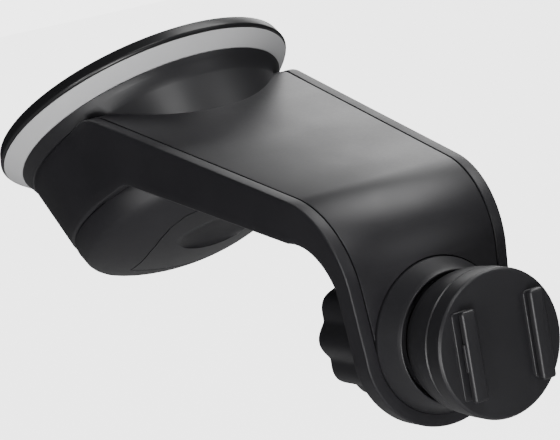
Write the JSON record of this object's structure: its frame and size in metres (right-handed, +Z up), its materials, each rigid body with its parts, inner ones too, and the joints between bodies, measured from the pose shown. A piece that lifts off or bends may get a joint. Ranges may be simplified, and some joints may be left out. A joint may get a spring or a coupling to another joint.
{
  "type": "windscreen suction mount for a portable gps navigator",
  "caption": "Windscreen suction-cup mount for a portable navigator: round foot with cam lever, bent arm, clamped ball joint and a round device plate with T-shaped tabs.",
  "frame": {"origin": "centre of the device plate's front face, at rest", "axes": "-Y out of the device plate towards the device, +X to the right seen from the device side's rear (looking along +Y), +Z up along the lower leg; the suction axis leans 30 degrees from +Z towards +Y"},
  "size_m": [0.08, 0.1744, 0.0924],
  "materials": {
    "shell_black": "moulded black plastic with a fine matt grain",
    "cover_black": "moulded black plastic, fine matt grain, slightly lighter sheen",
    "pad_rubber": "smooth satin black elastomer",
    "ring_grey": "light grey moulded plastic, satin",
    "dish_black": "satin black plastic",
    "lever_black": "satin black plastic",
    "joint_black": "satin black plastic",
    "plate_black": "satin black plastic",
    "knob_black": "satin black plastic",
    "nylon": "natural acetal, satin",
    "steel": "zinc-plated steel",
    "screw_steel": "zinc-plated screw",
    "brass": "turned brass"
  },
  "bodies": {
    "arm": {"arm_shell": "shell_black", "arm_cover": "cover_black", "mechanism_cover": "shell_black", "suction_dish": "dish_black", "pad_ring": "ring_grey", "suction_pad": "pad_rubber", "wear_plate": "steel", "socket_collar": "joint_black", "foot_screw_1": "screw_steel", "foot_screw_2": "screw_steel", "foot_screw_3": "screw_steel", "foot_screw_4": "screw_steel", "cover_screw_1": "screw_steel", "cover_screw_2": "screw_steel"},
    "stem": {"pull_stem": "nylon", "pad_center": "pad_rubber", "lever_pin": "steel", "pin_clip_left": "steel", "pin_clip_right": "steel"},
    "lever": {"cam_lever": "lever_black"},
    "core": {"pressure_washer": "steel", "clamp_bolt": "steel"},
    "pan": {"friction_liner": "nylon"},
    "plate": {"ball_shell": "joint_black", "adapter_plate": "plate_black"},
    "knob": {"clamping_knob": "knob_black", "knob_insert": "brass", "knob_cap": "knob_black", "knob_washer": "steel"}
  },
  "joints": [
    {"name": "stem_slide", "type": "slide", "parent": "arm", "child": "stem", "axis": [0, 0.5, 0.866], "range_m": [0, 0.0025]},
    {"name": "lever_hinge", "type": "hinge", "parent": "stem", "child": "lever", "pos_m": [0, 0.11945, 0.02112], "axis": [1, 0, 0], "range_deg": [0, 75]},
    {"name": "ball_roll", "type": "hinge", "parent": "arm", "child": "core", "pos_m": [0, 0.00685, 0], "axis": [0, 1, 0], "continuous": true},
    {"name": "ball_pan", "type": "hinge", "parent": "core", "child": "pan", "pos_m": [0, 0.00685, 0], "axis": [0, 0, 1], "range_deg": [-10, 10]},
    {"name": "ball_tilt", "type": "hinge", "parent": "pan", "child": "plate", "pos_m": [0, 0.00685, 0], "axis": [1, 0, 0], "range_deg": [-10, 10]},
    {"name": "knob_spin", "type": "hinge", "parent": "arm", "child": "knob", "pos_m": [0, 0.03765, 0], "axis": [0, 1, 0], "continuous": true}
  ],
  "couplings": [
    {"joint": "lever_hinge", "follows": "stem_slide", "rad_per_m": 523.59}
  ]
}
